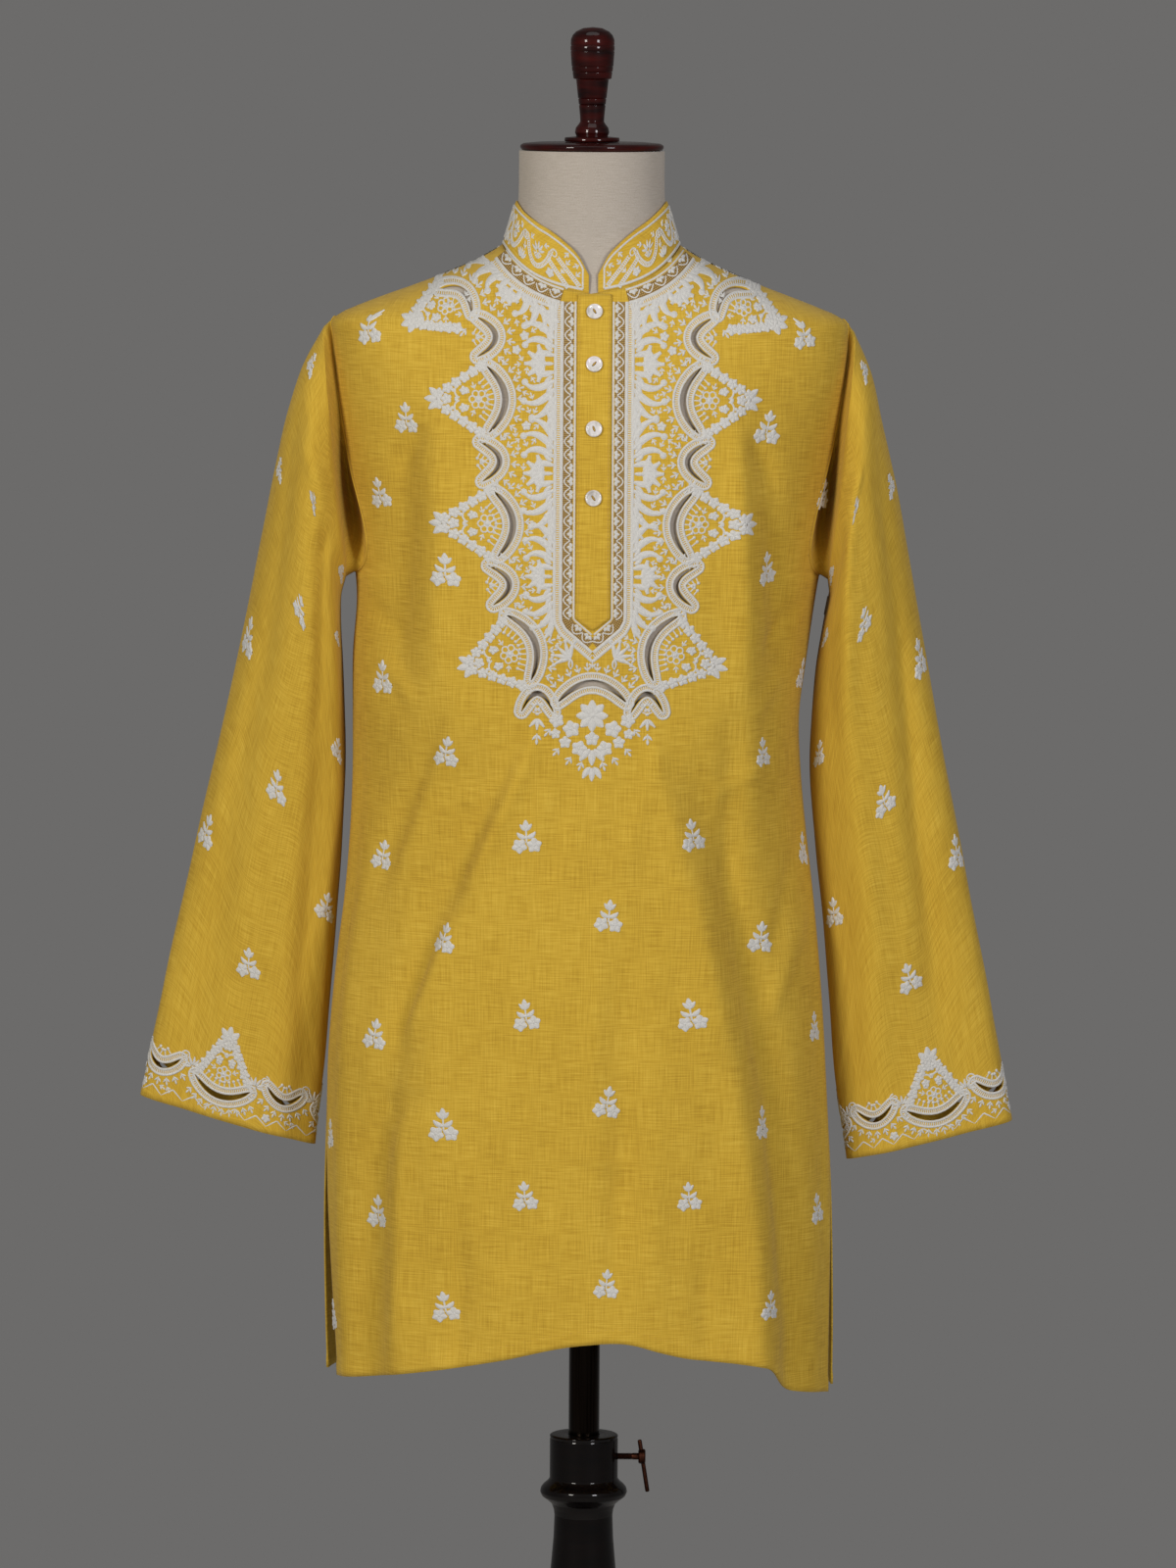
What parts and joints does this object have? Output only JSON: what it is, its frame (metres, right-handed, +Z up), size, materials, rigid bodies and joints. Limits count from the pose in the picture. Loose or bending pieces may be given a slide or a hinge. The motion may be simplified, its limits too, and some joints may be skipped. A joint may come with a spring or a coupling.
{
  "type": "embroidered kurta on a dress form and its stand",
  "caption": "Long-sleeved linen kurta with a cutwork yoke, band collar, buttoned placket and side slits, worn by a limbless dress form on a turned stand with a sliding pole.",
  "frame": {"origin": "centre of the base's underside, on the floor and on the pole's axis", "axes": "+Z up along the pole, -Y towards the garment's front, +X towards the viewer's right as the garment is faced"},
  "size_m": [0.735, 0.38, 1.7214],
  "materials": {
    "linen": "matt slub weave with embroidery",
    "form_cover": "matt stretched cotton",
    "polished_wood": "dark red gloss lacquer",
    "black_wood": "near-black gloss lacquer",
    "steel": "dark polished tube",
    "clamp_steel": "dull, lightly rusted",
    "shell": "pearly shell"
  },
  "bodies": {
    "stand": {"base": "black_wood", "post": "black_wood"},
    "pole": {"pole": "steel"},
    "form": {"dress_form": "form_cover", "neck_cap": "polished_wood", "finial": "polished_wood", "front_panel": "linen", "back_panel": "linen", "sleeve_left_front": "linen", "sleeve_left_back": "linen", "sleeve_right_front": "linen", "sleeve_right_back": "linen", "collar": "linen", "placket": "linen", "button_1": "shell", "button_2": "shell", "button_3": "shell", "button_4": "shell"},
    "clamp": {"clamp_screw": "clamp_steel"}
  },
  "joints": [
    {"name": "height_slide", "type": "slide", "parent": "stand", "child": "pole", "axis": [0, 0, 1], "range_m": [-0.1, 0.2]},
    {"name": "form_turn", "type": "hinge", "parent": "pole", "child": "form", "pos_m": [0, 0, 0.815], "axis": [0, 0, 1], "continuous": true},
    {"name": "clamp_turn", "type": "hinge", "parent": "stand", "child": "clamp", "pos_m": [0.03, 0, 0.521], "axis": [1, 0, 0], "range_deg": [0, 270]}
  ]
}
